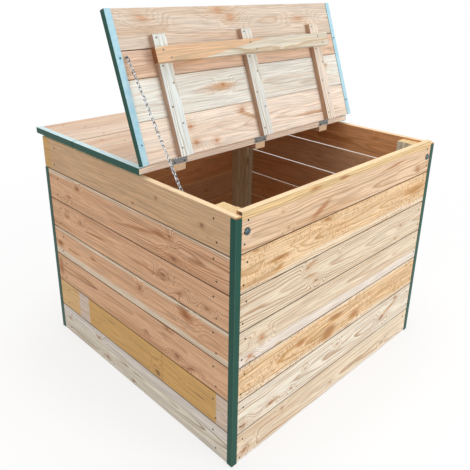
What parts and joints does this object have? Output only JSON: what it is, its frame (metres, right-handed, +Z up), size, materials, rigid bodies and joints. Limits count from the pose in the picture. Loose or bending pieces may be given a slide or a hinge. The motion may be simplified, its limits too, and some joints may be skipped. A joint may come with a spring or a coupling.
{
  "type": "compost bin",
  "caption": "Square wooden compost bin with board walls, steel corner angles, a fixed rear roof and a hinged front lid held open by a chain.",
  "frame": {"origin": "on the ground under the middle of the whole bin, 11 mm behind the middle of its four walls because of the roof's overhang", "axes": "+X to the right along the front wall, +Y from the front wall to the back wall, +Z up"},
  "size_m": [1.0432, 1.042, 1.2841],
  "materials": {
    "wall_wood": "sawn and planed softwood, natural",
    "post_wood": "sawn softwood, natural",
    "roof_wood": "planed softwood, natural",
    "lid_wood": "planed softwood, natural",
    "batten_wood": "sawn softwood, natural",
    "green_metal": "dark green, satin",
    "zinc_steel": "zinc plated",
    "nail_steel": "bright steel, darkened"
  },
  "bodies": {
    "bin": {"front_board_1": "wall_wood", "front_board_2": "wall_wood", "front_board_3": "wall_wood", "front_board_4": "wall_wood", "front_board_5": "wall_wood", "front_board_6": "wall_wood", "front_board_7": "wall_wood", "back_board_1": "wall_wood", "back_board_2": "wall_wood", "back_board_3": "wall_wood", "back_board_4": "wall_wood", "back_board_5": "wall_wood", "back_board_6": "wall_wood", "back_board_7": "wall_wood", "left_board_1": "wall_wood", "left_board_2": "wall_wood", "left_board_3": "wall_wood", "left_board_4": "wall_wood", "left_board_5": "wall_wood", "left_board_6": "wall_wood", "left_board_7": "wall_wood", "right_board_1": "wall_wood", "right_board_2": "wall_wood", "right_board_3": "wall_wood", "right_board_4": "wall_wood", "right_board_5": "wall_wood", "right_board_6": "wall_wood", "right_board_7": "wall_wood", "corner_posts_front_left": "post_wood", "corner_posts_front_right": "post_wood", "corner_posts_back_left": "post_wood", "corner_posts_back_right": "post_wood", "roof_board_1": "roof_wood", "roof_board_2": "roof_wood", "roof_board_3": "roof_wood", "roof_board_4": "roof_wood", "roof_board_5": "roof_wood", "roof_battens": "batten_wood", "front_corner_angles": "green_metal", "back_corner_angles": "green_metal", "roof_channels": "green_metal", "hinge_roof_leaves": "zinc_steel", "hinge_pins": "zinc_steel", "corner_bolts": "zinc_steel", "frame_screws": "zinc_steel", "wall_nails": "nail_steel", "roof_nails": "nail_steel"},
    "lid": {"lid_board_1": "lid_wood", "lid_board_2": "lid_wood", "lid_board_3": "lid_wood", "lid_board_4": "lid_wood", "lid_battens": "batten_wood", "lid_cross_bar": "batten_wood", "lid_channels": "green_metal", "hinge_lid_leaves": "zinc_steel", "lid_nails": "nail_steel", "lid_screws": "zinc_steel"},
    "chain_upper": {"chain_upper": "zinc_steel"},
    "chain_middle": {"chain_middle": "zinc_steel"},
    "chain_lower": {"chain_lower": "zinc_steel"}
  },
  "joints": [
    {"name": "lid_hinge", "type": "hinge", "parent": "bin", "child": "lid", "pos_m": [0, -0.11865, 0.849], "axis": [1, 0, 0], "range_deg": [0, 110]},
    {"name": "chain_eye_pivot", "type": "hinge", "parent": "lid", "child": "chain_upper", "pos_m": [-0.488, -0.04058, 1.15442], "axis": [1, 0, 0], "range_deg": [0, 14]},
    {"name": "chain_fold_pivot", "type": "hinge", "parent": "chain_upper", "child": "chain_middle", "pos_m": [-0.488, -0.10171, 1.06375], "axis": [1, 0, 0], "range_deg": [-78.01, 0]},
    {"name": "chain_foot_pivot", "type": "hinge", "parent": "bin", "child": "chain_lower", "pos_m": [-0.488, -0.27995, 0.79937], "axis": [1, 0, 0], "range_deg": [-144.02, 0]}
  ],
  "couplings": [
    {"joint": "chain_eye_pivot", "follows": "lid_hinge", "ratio": 0.12716},
    {"joint": "chain_fold_pivot", "follows": "lid_hinge", "ratio": -0.70909},
    {"joint": "chain_foot_pivot", "follows": "lid_hinge", "ratio": -1.3092}
  ]
}
